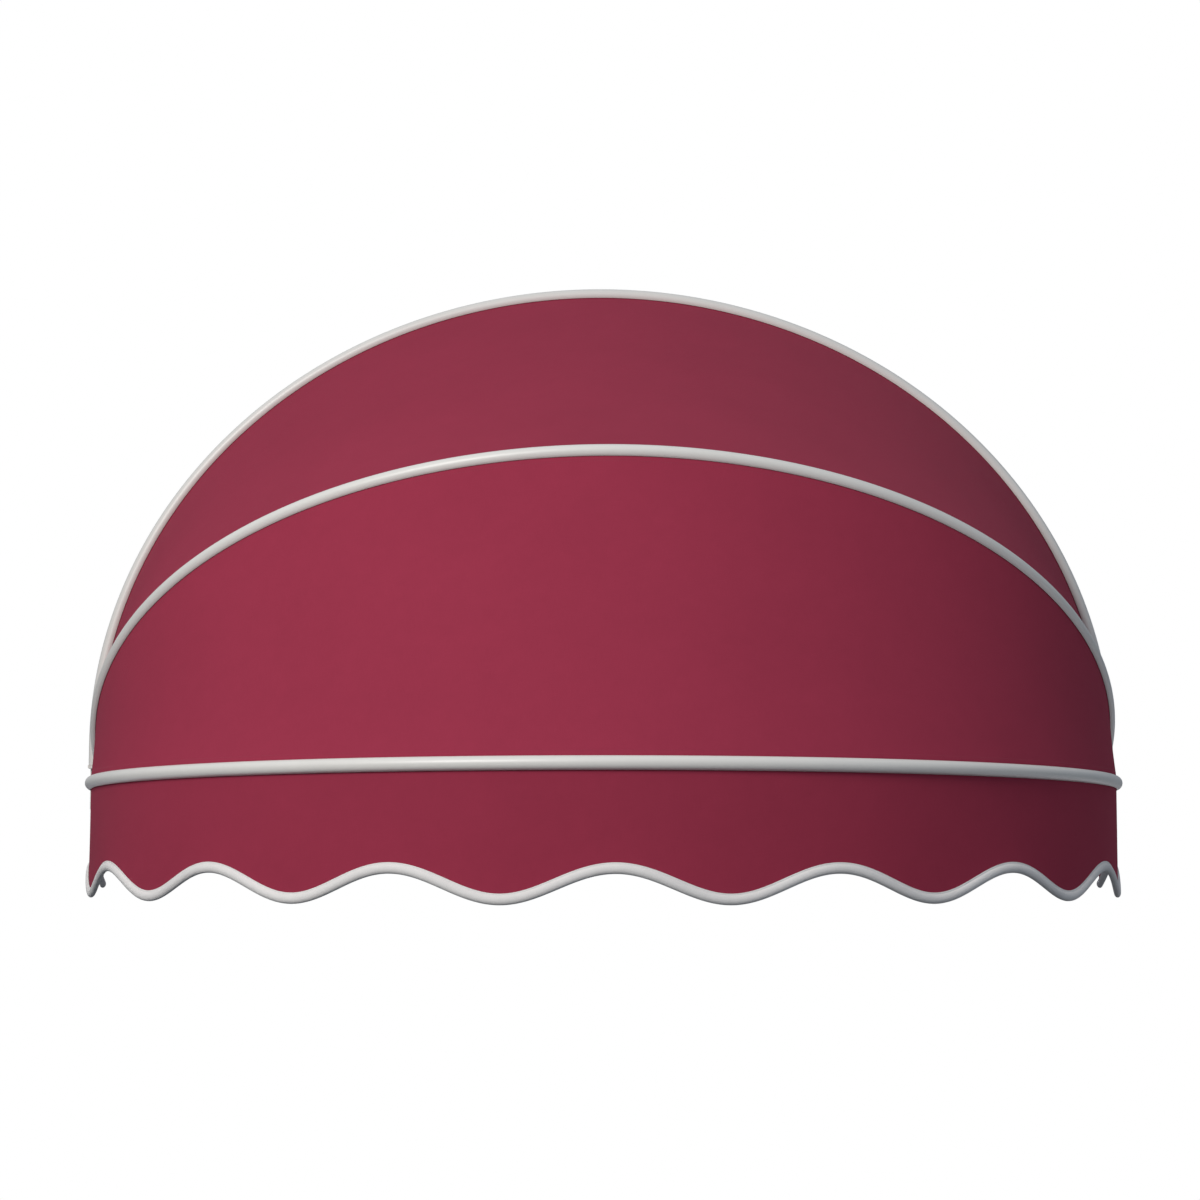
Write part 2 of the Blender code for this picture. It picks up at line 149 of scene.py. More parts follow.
class Value:
    """One output socket. Sums written on it add the Math nodes that work them out."""

    def __init__(self, finish, socket):
        self.finish, self.socket = finish, socket

    def math(self, operation, *operands):
        return self.finish.add("ShaderNodeMath", {"operation": operation}, dict(enumerate(operands)))

    def __add__(self, other):
        return self.math("ADD", self, other)

    def __sub__(self, other):
        return self.math("SUBTRACT", self, other)

    def __rsub__(self, other):
        return self.math("SUBTRACT", other, self)

    def __mul__(self, other):
        return self.math("MULTIPLY", self, other)

    def __abs__(self):
        return self.math("ABSOLUTE", self)

    __radd__ = __add__
    __rmul__ = __mul__

    def wave(self):
        return self.math("SINE", self)

    def above(self, level):
        return self.math("GREATER_THAN", self, level)

    def clamped(self):
        return self.finish.add("ShaderNodeClamp", {}, {0: self})


def socket_name(plain):
    """base_color becomes Base Color."""
    return plain.replace("_", " ").title().replace("Ior", "IOR")


class Finish:
    """A material in the making, on one Principled shader."""

    def __init__(self, name, **constants):
        self.material = bpy.data.materials.new(name)
        self.material.use_nodes = True
        self.tree = self.material.node_tree
        self.shader = self.tree.nodes["Principled BSDF"]
        for socket, value in constants.items():
            self.shader.inputs[socket_name(socket)].default_value = value

    def add(self, kind, settings, sockets, output=0):
        """Any node: its settings first, then values or links on its sockets."""
        node = self.tree.nodes.new(kind)
        for key, value in settings.items():
            setattr(node, key, value)
        for key, value in sockets.items():
            if isinstance(value, Value):
                self.tree.links.new(value.socket, node.inputs[key])
            else:
                node.inputs[key].default_value = value
        return Value(self, node.outputs[output])

    def place(self):
        return self.add("ShaderNodeTexCoord", {}, {}, "Object")

    def cloth_place(self):
        return self.add("ShaderNodeUVMap", {"uv_map": "Cloth"}, {})

    def split(self, vector):
        return [self.add("ShaderNodeSeparateXYZ", {}, {0: vector}, axis) for axis in "XYZ"]

    def stretched(self, vector, factors):
        return self.add("ShaderNodeVectorMath", {"operation": "MULTIPLY"}, {0: vector, 1: factors})

    def noise(self, vector, scale, detail=2.0, roughness=0.5):
        sockets = {"Vector": vector, "Scale": scale, "Detail": detail, "Roughness": roughness}
        return self.add("ShaderNodeTexNoise", {}, sockets)

    def mix(self, factor, first, second):
        """From the first colour to the second."""
        full = {6: first, 7: second}
        full = {key: value if isinstance(value, Value) else (*value, 1) for key, value in full.items()}
        return self.add("ShaderNodeMix", {"data_type": "RGBA"}, {0: factor, **full}, 2)

    def bump(self, height, distance, strength=1.0):
        sockets = {"Height": height, "Distance": distance, "Strength": strength}
        return self.add("ShaderNodeBump", {}, sockets)

    def done(self, **sockets):
        """Links what varies over the surface into the shader, and gives the material."""
        for name, value in sockets.items():
            self.tree.links.new(value.socket, self.shader.inputs[socket_name(name)])
        return self.material


def scaled(rgb, factor):
    return tuple(min(1.0, c * factor) for c in rgb)


def woven(name, rgb, thread, twill, **constants):
    """Cloth: threads crossing over and under, slubs along both, and a slow fading of the dye.

    A thread's height is the absolute sine of its place across it. Where the product of both sines'
    signs is positive the warp lies on top, else the weft; twill shifts that pattern along the weft.
    """
    cloth = Finish(name, **constants)
    place = cloth.cloth_place()
    along, across, _ = cloth.split(place)
    warp = (along * (pi / thread)).wave()
    weft = ((across + along * twill) * (pi / thread)).wave()
    warp_on_top = (warp * weft).above(0.0)
    height = warp_on_top * abs(warp) + (1 - warp_on_top) * abs(weft)
    slub_along = cloth.noise(cloth.stretched(place, (60, 1600, 1)), 1.0, 3.0)
    slub_across = cloth.noise(cloth.stretched(place, (1600, 60, 1)), 1.0, 3.0)
    fading = cloth.noise(place, 5.0, 4.0, 0.6)
    soot = cloth.noise(place, 38.0, 5.0, 0.65)
    tone = (0.5 * (slub_along + slub_across) + 0.6 * fading + 0.4 * soot - 0.5).clamped()
    shaded = cloth.mix(tone, scaled(rgb, 0.86), scaled(rgb, 1.14))
    # Painted shade: low on each thread, where it dips under the next, the colour is darkened to 0.55 of the
    # cloth's, standing in for shade in the gaps of the weave.
    threads = cloth.mix((height * 0.35 + 0.65).clamped(), scaled(rgb, 0.55), shaded)
    rough = (0.74 + 0.16 * slub_along + 0.06 * soot).clamped()
    ridges = height * 0.6 + 0.5 * slub_along + 0.5 * slub_across
    return cloth.done(base_color=threads, roughness=rough, normal=cloth.bump(ridges, 0.00022, 0.8))


def powder_coat(name, rgb):
    """Sprayed polyester: a fine orange peel, faint cloudiness, and dust that dulls it in patches."""
    coat = Finish(name, coat_roughness=0.25, specular_ior_level=0.5)
    place = coat.place()
    peel = coat.noise(place, 1500.0, 2.0)
    cloud = coat.noise(place, 9.0, 4.0, 0.6)
    dust = coat.noise(place, 140.0, 4.0, 0.7)
    tone = (0.6 * cloud + 0.4 * dust).clamped()
    base = coat.mix(tone, scaled(rgb, 0.93), scaled(rgb, 1.05))
    rough = (0.30 + 0.16 * dust + 0.08 * cloud).clamped()
    gloss = (0.35 - 0.3 * dust).clamped()
    return coat.done(base_color=base, roughness=rough, coat_weight=gloss,
                     normal=coat.bump(peel, 0.00004, 0.5))


def zinc_plate(name, rgb, metallic=1.0):
    """Zinc on steel: fine lines from the drawing die, a mottled passivation and duller patches."""
    zinc = Finish(name, metallic=metallic)
    place = zinc.place()
    lines = zinc.noise(zinc.stretched(place, (120, 2600, 2600)), 1.0, 3.0)
    mottle = zinc.noise(place, 420.0, 4.0, 0.6)
    base = zinc.mix(mottle, scaled(rgb, 0.78), scaled(rgb, 1.12))
    rough = (0.22 + 0.20 * mottle + 0.10 * lines).clamped()
    return zinc.done(base_color=base, roughness=rough, normal=zinc.bump(lines, 0.00003, 0.5))


def nylon(name, rgb):
    """Moulded nylon: a faintly cloudy, waxy surface with a fine grain."""
    wax = Finish(name, subsurface_weight=0.1, subsurface_scale=0.002)
    place = wax.place()
    cloud = wax.noise(place, 260.0, 3.0)
    grain = wax.noise(place, 3000.0, 2.0)
    base = wax.mix(cloud, scaled(rgb, 0.92), scaled(rgb, 1.06))
    return wax.done(base_color=base, roughness=(0.42 + 0.14 * grain).clamped(),
                    normal=wax.bump(grain, 0.00002, 0.5))


def thread(name, rgb):
    """Sewing thread: two plies laid round each other, dull and slightly fuzzy."""
    twist = Finish(name, sheen_weight=0.2)
    place = twist.place()
    fuzz = twist.noise(place, 2400.0, 3.0)
    base = twist.mix(fuzz, scaled(rgb, 0.8), scaled(rgb, 1.12))
    return twist.done(base_color=base, roughness=(0.66 + 0.2 * fuzz).clamped(),
                      normal=twist.bump(fuzz, 0.00006, 0.6))


def painted_floor(name, rgb):
    """Matt studio floor with a barely visible unevenness, and a faint glow that keeps it pale."""
    paint = Finish(name, emission_strength=FLOOR_GLOW)
    uneven = paint.noise(paint.place(), 3.0, 4.0)
    base = paint.mix(uneven, scaled(rgb, 0.985), scaled(rgb, 1.01))
    return paint.done(base_color=base, roughness=(0.8 + 0.1 * uneven).clamped())


def finishes(colours):
    """Each material once, by its plain name."""
    made = bpy.data.materials
    if "burgundy_canvas" not in made:
        cloth = {"sheen_weight": 0.02, "sheen_roughness": 0.5, "specular_ior_level": 0.05}
        woven("burgundy_canvas", colours.canvas, 0.0009, 0.0, **cloth)
        woven("white_binding_tape", colours.tape, 0.0007, 0.5, **cloth)
        powder_coat("white_powder_coat", colours.coat)
        powder_coat("white_coat_on_steel", scaled(colours.coat, 0.97))
        zinc_plate("zinc_plate", colours.steel)
        zinc_plate("stainless_wire", scaled(colours.steel, 1.05))
        nylon("natural_nylon", colours.nylon)
        thread("burgundy_thread", scaled(colours.canvas, 0.8))
        thread("white_thread", scaled(colours.tape, 0.9))
    return made


# Shapes


def skin(rings, loop=False, ends=None):
    """(points, faces) over equal rings of points, facing outwards.

    A face joins each point to the next of its ring and of the next ring. The last ring joins the first, or
    both are closed by `ends`, the faces of one ring, which are otherwise one flat face.
    """
    rows, columns = rings.shape[:2]
    row, column = np.meshgrid(np.arange(rows if loop else rows - 1), np.arange(columns), indexing="ij")
    here, there, after = row * columns, (row + 1) % rows * columns, (column + 1) % columns
    quads = np.stack([here + column, here + after, there + after, there + column], -1).reshape(-1, 4)
    caps = []
    if not loop:
        last = (rows - 1) * columns
        ends = ends or [list(range(columns))]
        caps = [face[::-1] for face in ends] + [[last + corner for corner in face] for face in ends]
    points = rings.reshape(-1, 3)
    local = points - points.mean(axis=0)
    fans = [quads[:, [0, 1, 2]], quads[:, [0, 2, 3]]]
    fans += [[[cap[0], a, b] for a, b in zip(cap[1:], cap[2:])] for cap in caps]
    corners = local[np.concatenate(fans)]
    faces = quads.tolist() + caps
    if np.linalg.det(corners).sum() < 0:
        faces = [face[::-1] for face in faces]
    return points, faces


def make(name, shells, finish, cloth=None, sharp=35):
    """One object of closed shells, with its place in its mesh. `cloth` gives each point's place on the
    cloth."""
    points = np.concatenate([shell[0] for shell in shells])
    faces, start = [], 0
    for shell_points, shell_faces in shells:
        faces += [[start + corner for corner in face] for face in shell_faces] if start else shell_faces
        start += len(shell_points)
    mesh = bpy.data.meshes.new(name)
    mesh.from_pydata(points, [], faces)
    if cloth is not None:
        corners = np.empty(len(mesh.loops), np.int32)
        mesh.loops.foreach_get("vertex_index", corners)
        layer = mesh.uv_layers.new(name="Cloth")
        layer.data.foreach_set("uv", cloth[corners].astype(np.float32).ravel())
    mesh.shade_smooth()
    mesh.set_sharp_from_angle(angle=radians(sharp))
    mesh.materials.append(bpy.data.materials[finish])
    made = bpy.data.objects.new(name, mesh)
    bpy.context.scene.collection.objects.link(made)
    return made


def settle(piece, body, slot, *nodes):
    """Puts a finished piece on its body and hides the nodes that it stands for. Its slot is not used."""
    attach(piece, body)
    if nodes:
        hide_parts(*nodes)


def arc(centre, radius, start, end, count):
    """Points (out, up) at equal angles of an arc, counted from +up towards +out."""
    turn = np.linspace(start, end, count)
    return np.stack([centre[0] + radius * np.sin(turn), centre[1] + radius * np.cos(turn)], 1)


def unit(vectors):
    return vectors / np.linalg.norm(vectors, axis=-1, keepdims=True)


class Bow:
    """One arch, flat in its own frame, with its legs running to -Y from its fold axis.

    Its centre line is (a cos t, -leg - b sin t), with a the half width, b the rise and t from 0 at the right
    foot to pi at the left one. Straight legs carry it on to the feet. Its outward normal is the ellipse's,
    (b cos t, -a sin t) made one long. The frame is turned up by the bow's angle and moved to its axis.
    """

    def __init__(self, half_width, rise, leg, foot, axis, angle):
        self.half_width, self.rise, self.leg, self.foot = half_width, rise, leg, foot
        self.axis, self.turn = np.array(axis), np.array(Matrix.Rotation(-angle, 3, "X"))

    def at(self, turn):
        """Centre line and outward normals, flat, at the given angles."""
        points = np.stack([self.half_width * np.cos(turn), -self.leg - self.rise * np.sin(turn)], 1)
        return points, unit(np.stack([self.rise * np.cos(turn), -self.half_width * np.sin(turn)], 1))

    def line(self):
        points, normals = self.at(np.linspace(0, pi, BOW_STEPS + 1))
        legs = np.linspace(self.foot, self.leg, 5)[:-1]
        right = np.stack([np.full(4, self.half_width), -legs], 1)
        left = right[::-1] * [-1, 1]
        side = np.tile([1.0, 0.0], (4, 1))
        return np.vstack([right, points, left]), np.vstack([side, normals, -side])

    def world(self, points):
        return points @ self.turn.T + self.axis

    def sweep(self, section):
        """Rings of a section's points (out, up), carried along the centre line."""
        points, normals = self.line()
        flat = points[:, None] + section[None, :, :1] * normals[:, None]
        up = np.broadcast_to(section[None, :, 1:], (*flat.shape[:2], 1))
        return self.world(np.concatenate([flat, up], 2))

    def rail(self, out, up):
        return self.sweep(np.array([[out, up]]))[:, 0]

    def seat(self, turn):
        """The world frame on the centre line at an angle: X along it, Y outwards and Z up from its plane."""
        (point,), (normal,) = self.at(np.array([turn]))
        along = np.array([normal[1], -normal[0], 0])
        outwards = np.array([*normal, 0])
        axes = self.turn @ np.stack([along, outwards, np.cross(along, outwards)], 1)
        return axes, self.world(np.array([*point, 0]))


def bows(sizes):
    low_leg, wall_axis = sizes.leg, (0, -sizes.tube_radius, 0)
    wall = Bow(sizes.wall_half_width, sizes.wall_rise, low_leg, 0.0089, wall_axis, pi / 2)
    mid = Bow(sizes.fold_half_width, sizes.mid_rise, low_leg, sizes.foot, PIVOTS["mid_fold"], sizes.mid_angle)
    front = Bow(sizes.fold_half_width, sizes.front_rise, low_leg, sizes.foot, PIVOTS["front_fold"], 0)
    return wall, mid, front


def groove(turn, radius):
    """A slot with rounded lips and a round pocket, opening along `turn`, from +up towards +out."""
    lip = np.arcsin(SLOT_HALF / POCKET_R)
    pocket_centre = POCKET_AT * np.array([sin(turn), cos(turn)])
    pocket = arc(pocket_centre, POCKET_R, turn - lip, turn + lip - 2 * pi, 13)
    mouth = np.arcsin((SLOT_HALF + 0.0005) / radius)
    inner = radius - 0.0006
    throat = np.arcsin(SLOT_HALF / inner)
    before = [arc((0, 0), radius, turn - mouth, 0, 1), arc((0, 0), inner, turn - throat, 0, 1)]
    after = [arc((0, 0), inner, turn + throat, 0, 1), arc((0, 0), radius, turn + mouth, 0, 1)]
    return np.vstack([*before, pocket, *after]), mouth


def fold_section(radius):
    """A round bar with a groove on both sides of the bow's plane."""
    top, mouth = groove(0, radius)
    low, _ = groove(pi, radius)
    outer = arc((0, 0), radius, mouth, pi - mouth, 22)[1:-1]
    inner = arc((0, 0), radius, pi + mouth, 2 * pi - mouth, 22)[1:-1]
    return np.vstack([top, outer, low, inner])


def wall_section(radius):
    """A round bar with a flat back towards the wall and one groove, forwards and inwards."""
    turn = pi + WALL_GROOVE_TURN
    slot, mouth = groove(turn, radius)
    front = arc((0, 0), radius, pi / 3, turn - mouth, 26)[:-1]
    inner = arc((0, 0), radius, turn + mouth, 5 * pi / 3, 14)[1:]
    flat = 0.8 * radius
    back = np.array([[-flat, radius - 0.0006], [-flat + 0.0008, radius], [flat - 0.0008, radius],
                     [flat, radius - 0.0006]])
    return np.vstack([front, slot, inner, back])


def welt_section(side, turn=0.0):
    centre = (-POCKET_AT * sin(turn), side * POCKET_AT * cos(turn))
    return arc(centre, WELT_R, 0, 2 * pi, 13)[:-1]


def sheet(name, middle, outwards, doubling, fabric, finish, along, across):
    """Cloth as a closed slab: the middle surface pushed out by half its thickness, and in by half of it and
    by the doubling where it is folded over. Points are given as rows along it and columns across it."""
    outer = middle + outwards * fabric / 2
    inner = middle - outwards * (fabric / 2 + doubling[..., None])
    columns = middle.shape[1]
    rings = np.concatenate([outer, inner[:, ::-1]], axis=1)
    ends = [[c, c + 1, 2 * columns - 2 - c, 2 * columns - 1 - c] for c in range(columns - 1)]
    place = np.stack([np.broadcast_to(along, middle.shape[:2]), across], -1)
    place = np.concatenate([place, place[:, ::-1]], axis=1)
    return make(name, [skin(rings, ends=ends)], finish, place.reshape(-1, 2), sharp=60)


def stitches(name, line, outwards, pitch, finish, wide=0.00035, proud=0.00085):
    """A row of short rounded threads along a line; each shows on both sides of the cloth.

    A stitch is a spindle: its rings grow and shrink with the sine of their place along it.
    """
    run = np.concatenate([[0], np.cumsum(np.linalg.norm(np.diff(line, axis=0), axis=1))])
    count = int(run[-1] / pitch)
    where = (np.arange(count) + 0.5) * run[-1] / count
    centre = np.stack([np.interp(where, run, line[:, i]) for i in range(3)], 1)
    ahead = np.stack([np.interp(where + 1e-4, run, line[:, i]) for i in range(3)], 1)
    out = unit(np.stack([np.interp(where, run, outwards[:, i]) for i in range(3)], 1))
    tangent = unit(ahead - centre)
    side = np.cross(out, tangent)
    step, turn = np.linspace(0.12, 0.88, 4) * pi, np.arange(6) * pi / 3
    reach, girth = np.broadcast_arrays(-np.cos(step)[:, None] * 0.40 * pitch, np.sin(step)[:, None])
    around, up = girth * np.cos(turn) * wide, girth * np.sin(turn) * proud
    local = np.stack([np.broadcast_to(reach, (4, 6)), around, up], -1)
    axes = np.stack([tangent, side, out], 1)
    points = centre[:, None] + local.reshape(-1, 3) @ axes
    _, faces = skin(local)
    first_corner = 24 * np.arange(count)[:, None, None]
    quads = (np.array(faces[:-2]) + first_corner).reshape(-1, 4).tolist()
    ends = (np.array(faces[-2:]) + first_corner).reshape(-1, 6).tolist()
    return make(name, [(points.reshape(-1, 3), quads + ends)], finish)


# Operators


class AWNING_OT_bows(bpy.types.Operator):
    """Makes the three grooved bows and the welts that lie in their grooves"""

    bl_idname = "awning.bows"
    bl_label = "Bows and Welts"

    def execute(self, context):
        sizes = context.scene.awning_sizes
        finishes(context.scene.awning_colours)
        wall, mid, front = bows(sizes)
        fold = fold_section(sizes.tube_radius)
        rows = (("wall_bow", wall, wall_section(sizes.tube_radius), "wall_frame"),
                ("mid_bow", mid, fold, "middle_arch"), ("front_bow", front, fold, "front_arch"))
        for name, bow, section, body in rows:
            piece = make(name + "_tube", [skin(bow.sweep(section))], "white_powder_coat")
            settle(piece, body, "bow_coat", name)
        welts = (("wall_bow_welt", wall, -1, WALL_GROOVE_TURN, "wall_frame"),
                 ("mid_bow_upper_welt", mid, 1, 0, "middle_arch"),
                 ("mid_bow_lower_welt", mid, -1, 0, "middle_arch"),
                 ("front_bow_upper_welt", front, 1, 0, "front_arch"),
                 ("front_bow_lower_welt", front, -1, 0, "front_arch"))
        for name, bow, side, turn, body in welts:
            rings = bow.sweep(welt_section(side, turn))
            run = np.linspace(0, 2.3, len(rings))
            place = np.stack(np.meshgrid(run, np.linspace(0, 0.012, 12), indexing="ij"), -1)
            piece = make(name + "_cord", [skin(rings)], "burgundy_canvas", place.reshape(-1, 2))
            settle(piece, body, "welt", name)
        return {"FINISHED"}


def panel_shares(width):
    """Where the rows across a panel lie, as shares of its width: close together in both hems, then even."""
    hem = np.array([0, 0.003, 0.006, 0.010, HEM_DEEP - 0.0008, HEM_DEEP + 0.0008, 0.020])
    limit = np.arange(7) * 0.025
    edge = np.minimum(hem / width[:, None], limit)
    middle = np.linspace(0, 1, 83)[1:-1]
    span = edge[:, -1:] + (1 - 2 * edge[:, -1:]) * middle
    return np.concatenate([edge, span, 1 - edge[:, ::-1]], axis=1)


def panel(name, upper, lower, upper_turn, sizes):
    """Canvas from one bow's groove to the next one's.

    Across, a point lies between the two bows' mouths at a share s of the way, and dips inwards by
    4 s (1 - s) times the sag.
    """
    inside, outside = POCKET_AT + WELT_R + GAP, sizes.tube_radius + 0.0008
    tops = [upper.rail(-depth * sin(upper_turn), -depth * cos(upper_turn)) for depth in (inside, outside)]
    lows = [lower.rail(0, depth) for depth in (outside, inside)]
    width = np.linalg.norm(lows[0] - tops[1], axis=1)
    shares = panel_shares(width)
    flat = tops[1][:, None] * (1 - shares[..., None]) + lows[0][:, None] * shares[..., None]
    outwards = unit(np.cross(np.gradient(flat, axis=0), (lows[0] - tops[1])[:, None]))
    outwards *= np.sign((outwards[len(outwards) // 2, 0] * [0, -1, 1]).sum())
    dip = 4 * shares * (1 - shares) * sizes.sag * width[:, None]
    curved = flat - outwards * dip[..., None]
    middle = np.concatenate([tops[0][:, None], curved, lows[1][:, None]], axis=1)
    outwards = np.concatenate([outwards[:, :1], outwards, outwards[:, -1:]], axis=1)
    weight = np.concatenate([shares[:, :1], shares, shares[:, -1:]], axis=1)
    from_edge = np.minimum(weight, 1 - weight) * width[:, None]
    run = np.concatenate([[0], np.cumsum(np.linalg.norm(np.diff(curved.mean(axis=1), axis=0), axis=1))])
    from_end = np.minimum(run, run[-1] - run)[:, None]
    folded = (from_edge < HEM_DEEP) | (from_end < HEM_DEEP)
    doubling = np.where(folded & (from_edge > 0.0005), sizes.fabric, 0)
    across = weight * width[:, None]
    piece = sheet(name, middle, outwards, doubling, sizes.fabric, "burgundy_canvas", run[:, None], across)
    blended(piece)
    seams = []
    for label, place in (("upper", SEAM_IN), ("lower", -SEAM_IN)):
        at = np.where(place > 0, place, width + place) / width
        line = tops[1] * (1 - at[:, None]) + lows[0] * at[:, None]
        line -= outwards[:, 1] * (4 * at * (1 - at) * sizes.sag * width)[:, None]
        line -= outwards[:, 1] * sizes.fabric / 2
        seam = stitches(f"{name}_{label}_seam", line, outwards[:, 1], sizes.stitch_pitch, "burgundy_thread",
                        proud=0.00125)
        blended(seam)
        seams.append(seam)
    steps = np.linalg.norm(np.diff(middle, axis=1), axis=2).sum(axis=1)
    longest = max(np.linalg.norm(np.diff(middle[:, edge], axis=0), axis=1).sum() for edge in (0, -1))
    return piece, seams, (float(longest), float(steps.max())), float((steps * np.gradient(run)).sum())


def blended(piece):
    """Bakes a piece's placing into its mesh."""
    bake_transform(piece)


class AWNING_OT_canopy(bpy.types.Operator):
    """Makes the two canvas panels between the bows, with the seams along their welted edges"""

    bl_idname = "awning.canopy"
    bl_label = "Canopy"

    def execute(self, context):
        sizes = context.scene.awning_sizes
        finishes(context.scene.awning_colours)
        wall, mid, front = bows(sizes)
        rows = (("upper_canopy", wall, mid, WALL_GROOVE_TURN, ("wall_frame", "middle_arch")),
                ("lower_canopy", mid, front, 0.0, ("middle_arch", "front_arch")))
        for node, upper, lower, turn, bodies in rows:
            piece, seams, flat, area = panel(node + "_canvas", upper, lower, turn, sizes)
            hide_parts(node)
            upper_name(node)
            lower_name(node)
        return {"FINISHED"}


def upper_name(node):
    return "wall_bow_tube" if node == "upper_canopy" else "mid_bow_tube"


def lower_name(node):
    return "mid_bow_tube" if node == "upper_canopy" else "front_bow_tube"


def valance_line(front):
    """The valance's plan line, from the right wall end round the front bow to the left one: points, run from
    the middle and outward normals."""
    points, normals = front.line()
    points = front.world(np.column_stack([points, np.zeros(len(points))]))[:, :2]
    back = np.linspace(SIDE_END, points[0, 1], 12)[:-1]
    right = np.stack([np.full(11, front.half_width), back], 1)
    points = np.vstack([right, points, right[::-1] * [-1, 1]])
    side = np.tile([1.0, 0.0], (11, 1))
    normals = np.vstack([side, normals, -side])
    run = np.concatenate([[0], np.cumsum(np.linalg.norm(np.diff(points, axis=0), axis=1))])
    even = np.linspace(0, run[-1], 561)
    points = np.stack([np.interp(even, run, points[:, i]) for i in range(2)], 1)
    normals = unit(np.stack([np.interp(even, run, normals[:, i]) for i in range(2)], 1))
    return points, even - even[-1] / 2, np.column_stack([normals, np.zeros(len(even))])


def hem_height(run, plane, sizes):
    """A cosine of the run with a crest at the middle of the front, and a lift with the square of the run."""
    waves = sizes.wave * np.cos(2 * pi * run / sizes.wave_pitch)
    return plane - sizes.valance_drop + sizes.hem_lift * run ** 2 + waves


def hang(run, depth, sizes):
    """How far the hanging cloth stands out of the plumb line under the bow: a slight flare, and a ripple
    that goes with the hem's waves, both growing with the square of the depth."""
    return depth ** 2 * (0.0008 + 0.0010 * np.cos(2 * pi * run / sizes.wave_pitch + 0.6))


class AWNING_OT_valance(bpy.types.Operator):
    """Makes the hanging valance with its wavy hem, the padded tape that binds it, and their stitching"""

    bl_idname = "awning.valance"
    bl_label = "Valance"

    def execute(self, context):
        sizes = context.scene.awning_sizes
        finishes(context.scene.awning_colours)
        _, _, front = bows(sizes)
        points, run, outwards = valance_line(front)
        plane = front.axis[2]
        held = points[:, 1] < front.axis[1] - front.foot - 0.001
        top = np.where(held, plane - (POCKET_AT + WELT_R + GAP), plane - VALANCE_END_TOP)
        hem = hem_height(run, plane, sizes)
        depths = np.concatenate([[0, 0.012, 0.03], np.linspace(0.06, 1, 40)])
        z = top[:, None] + depths * (hem + 0.0008 - top)[:, None]
        flat = np.broadcast_to(points[:, None], (*z.shape, 2))
        middle = np.concatenate([flat, z[..., None]], -1) \
            + outwards[:, None] * hang(run[:, None], depths, sizes)[..., None]
        normals = np.broadcast_to(outwards[:, None], middle.shape)
        from_end = (run[-1] - abs(run))[:, None]
        doubling = np.where(np.broadcast_to(from_end < HEM_DEEP, z.shape), sizes.fabric, 0)
        valance = sheet("valance_canvas", middle, normals, doubling, sizes.fabric, "burgundy_canvas",
                        run[:, None] + 3, plane - z)
        tape = self.binding(points, run, outwards, hem, sizes)
        pieces = [tape, *self.stitching(points, run, outwards, hem, plane, sizes)]
        settle(valance, "front_arch", "canvas", "valance")
        settle(tape, "front_arch", "binding", "hem_binding")
        for piece in pieces[1:]:
            settle(piece, "front_arch", "binding" if "hem" in piece.name else "canvas")
        for piece in (valance, *pieces):
            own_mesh(piece)
        drop = float((top - hem).max())
        area = float(((top - hem)[1:] * np.diff(run)).sum())
        float(run[-1] - run[0])
        return {"FINISHED"}

    def edge(self, points, run, outwards, hem, sizes):
        """The hem's line in space, its tangents, and the direction up the cloth from it."""
        line = np.column_stack([points, hem]) + outwards * hang(run, 1.0, sizes)[:, None]
        tangent = unit(np.gradient(line, axis=0))
        return line, tangent, unit(np.cross(outwards, tangent) * np.sign(np.cross(outwards, tangent)[:, 2:]))

    def binding(self, points, run, outwards, hem, sizes):
        """A tape folded over the hem and its padding: a flat lip on both sides of the cloth, and below it a
        roll. Its half thickness is the root of 1 - h squared, with h from 1 under the lip to -1 at the fold."""
        line, _, up = self.edge(points, run, outwards, hem, sizes)
        slot, deep, low = sizes.fabric / 2 + 0.0004, sizes.tape_deep, -0.0016
        thin, roll = slot + 0.0005, deep - sizes.tape_lip
        height = np.cos(np.linspace(0.06 * pi, pi, 15))
        bulge = np.maximum(sizes.tape_bulge * np.sqrt(1 - height ** 2), thin * (height > 0))
        outer = np.stack([bulge, low + (1 + height) / 2 * (roll - low)], 1)
        outer = np.vstack([[thin - 0.0002, deep], [thin, deep - 0.0003], [thin, roll + 0.0002], outer])
        section = np.vstack([[slot, 0.0004], [slot, deep], outer, outer[-2::-1] * [-1, 1], [-slot, deep],
                             [-slot, 0.0004]])
        rings = line[:, None] + section[None, :, :1] * outwards[:, None] + section[None, :, 1:] * up[:, None]
        girth = np.concatenate([[0], np.cumsum(np.linalg.norm(np.diff(section, axis=0), axis=1))])
        place = np.stack(np.meshgrid(run + 3, girth, indexing="ij"), -1)
        return make("hem_binding_tape", [skin(rings)], "white_binding_tape", place.reshape(-1, 2), sharp=60)

    def stitching(self, points, run, outwards, hem, plane, sizes):
        """The row along the binding, and one up each side hem."""
        line, _, up = self.edge(points, run, outwards, hem, sizes)
        row = line + up * (sizes.tape_deep - sizes.tape_lip / 2)
        rows = [stitches("hem_stitching", row, outwards, sizes.stitch_pitch, "white_thread", 0.0004, 0.0019)]
        for hand, end in (("right", 0), ("left", -1)):
            inside = 0.010 * np.array([0, -1.0])
            base = points[end] + inside
            height = np.linspace(plane - 0.018, hem[end] + 0.018, 30)
            side = np.column_stack([np.full(30, base[0]), np.full(30, base[1]), height])
            depth = (plane - height) / (plane - hem[end])
            side += outwards[end] * (hang(run[end], depth, sizes) - sizes.fabric / 2)[:, None]
            rows.append(stitches(f"valance_{hand}_stitching", side, np.tile(outwards[end], (30, 1)),
                                 sizes.stitch_pitch, "burgundy_thread", 0.00035, 0.00125))
        return rows


